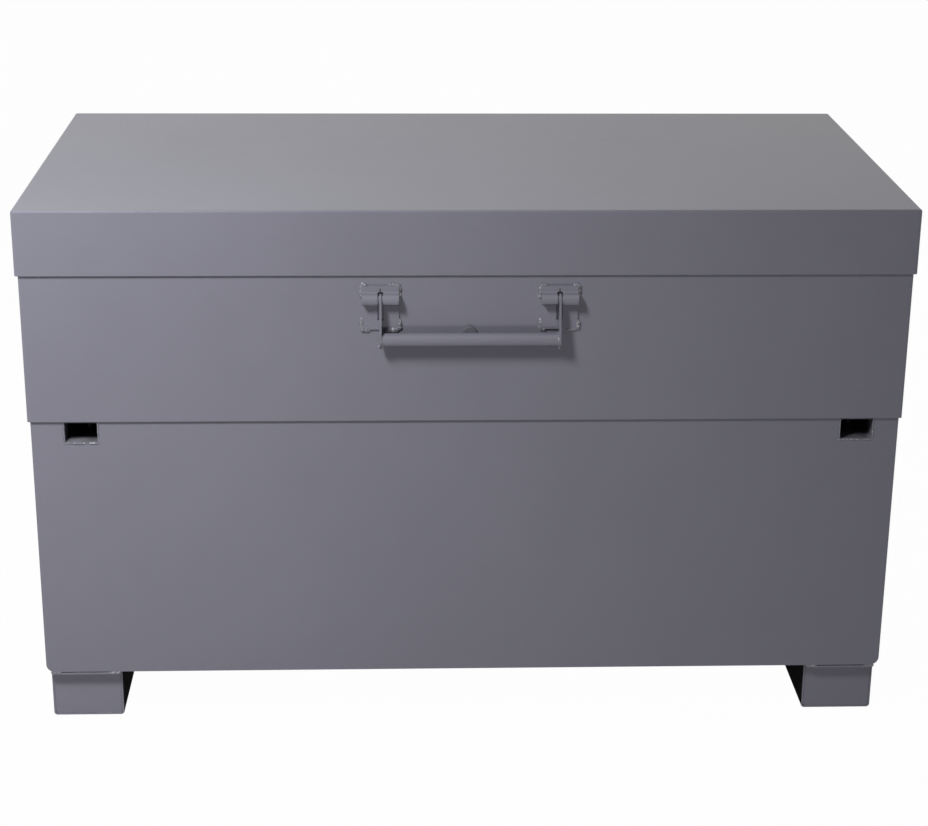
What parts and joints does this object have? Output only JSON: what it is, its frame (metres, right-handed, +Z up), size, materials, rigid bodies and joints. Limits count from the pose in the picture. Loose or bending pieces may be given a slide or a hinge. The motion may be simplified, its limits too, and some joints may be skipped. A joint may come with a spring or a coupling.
{
  "type": "jobsite storage box",
  "caption": "Lockable steel jobsite tool chest on fork skids: deep lid on a continuous hinge with gas struts, swinging bar handle and recessed padlock pockets.",
  "frame": {"origin": "bottom centre of the whole box with its handle, on the floor under the middle", "axes": "+Z up, front with the handle and padlock pockets faces -Y, +X runs along the width to the right as seen from behind the origin looking along +Y"},
  "size_m": [1.2192, 0.6592, 0.7587],
  "materials": {
    "coat_grey": "semi-gloss grey powder coat on steel sheet",
    "pin_steel": "zinc-plated steel",
    "rod_chrome": "polished hard chrome",
    "tube_black": "black gloss paint",
    "rubber_black": "matt black rubber"
  },
  "bodies": {
    "body": {"back_panel": "coat_grey", "body_wrapper": "coat_grey", "front_panel": "coat_grey", "hinge_body_leaf": "coat_grey", "hinge_pin": "pin_steel", "lid_rest_pads": "rubber_black", "lock_pocket_left": "coat_grey", "lock_pocket_right": "coat_grey", "lock_staple_left": "coat_grey", "lock_staple_right": "coat_grey", "skid_ends": "coat_grey", "skid_left": "coat_grey", "skid_right": "coat_grey", "strut_foot_brackets": "coat_grey", "strut_foot_pins": "pin_steel"},
    "lid": {"handle_bases": "coat_grey", "handle_bumper": "coat_grey", "handle_keepers": "coat_grey", "handle_pins": "pin_steel", "hinge_lid_leaf": "coat_grey", "lid_cap": "coat_grey", "lid_cheek_left": "coat_grey", "lid_cheek_right": "coat_grey", "lid_front_band": "coat_grey", "lid_stiffeners": "coat_grey", "lock_tongue_left": "coat_grey", "lock_tongue_right": "coat_grey", "strut_head_brackets": "coat_grey"},
    "handle": {"handle_arms": "coat_grey", "handle_bar": "coat_grey"},
    "strut_rod_left": {"strut_rod_left": "rod_chrome"},
    "strut_tube_left": {"strut_head_pin_left": "pin_steel", "strut_tube_left": "tube_black"},
    "strut_rod_right": {"strut_rod_right": "rod_chrome"},
    "strut_tube_right": {"strut_head_pin_right": "pin_steel", "strut_tube_right": "tube_black"}
  },
  "joints": [
    {"name": "lid_hinge", "type": "hinge", "parent": "body", "child": "lid", "pos_m": [0, 0.32295, 0.66355], "axis": [-1, 0, 0], "range_deg": [0, 90]},
    {"name": "handle_swing", "type": "hinge", "parent": "lid", "child": "handle", "pos_m": [0.0014, -0.31075, 0.6362], "axis": [-1, 0, 0], "range_deg": [0, 90]},
    {"name": "strut_swing_left", "type": "hinge", "parent": "body", "child": "strut_rod_left", "pos_m": [-0.566, 0.25295, 0.36355], "axis": [-1, 0, 0], "range_deg": [0, 15.17]},
    {"name": "strut_slide_left", "type": "slide", "parent": "strut_rod_left", "child": "strut_tube_left", "axis": [0, -0.1875, 0.9823], "range_m": [0, 0.15459]},
    {"name": "strut_swing_right", "type": "hinge", "parent": "body", "child": "strut_rod_right", "pos_m": [0.566, 0.25295, 0.36355], "axis": [-1, 0, 0], "range_deg": [0, 15.17]},
    {"name": "strut_slide_right", "type": "slide", "parent": "strut_rod_right", "child": "strut_tube_right", "axis": [0, -0.1875, 0.9823], "range_m": [0, 0.15459]}
  ],
  "couplings": [
    {"joint": "strut_swing_left", "follows": "lid_hinge", "ratio": 0.16846},
    {"joint": "strut_slide_left", "follows": "lid_hinge", "m_per_rad": 0.098351},
    {"joint": "strut_swing_right", "follows": "lid_hinge", "ratio": 0.16846},
    {"joint": "strut_slide_right", "follows": "lid_hinge", "m_per_rad": 0.098351}
  ]
}
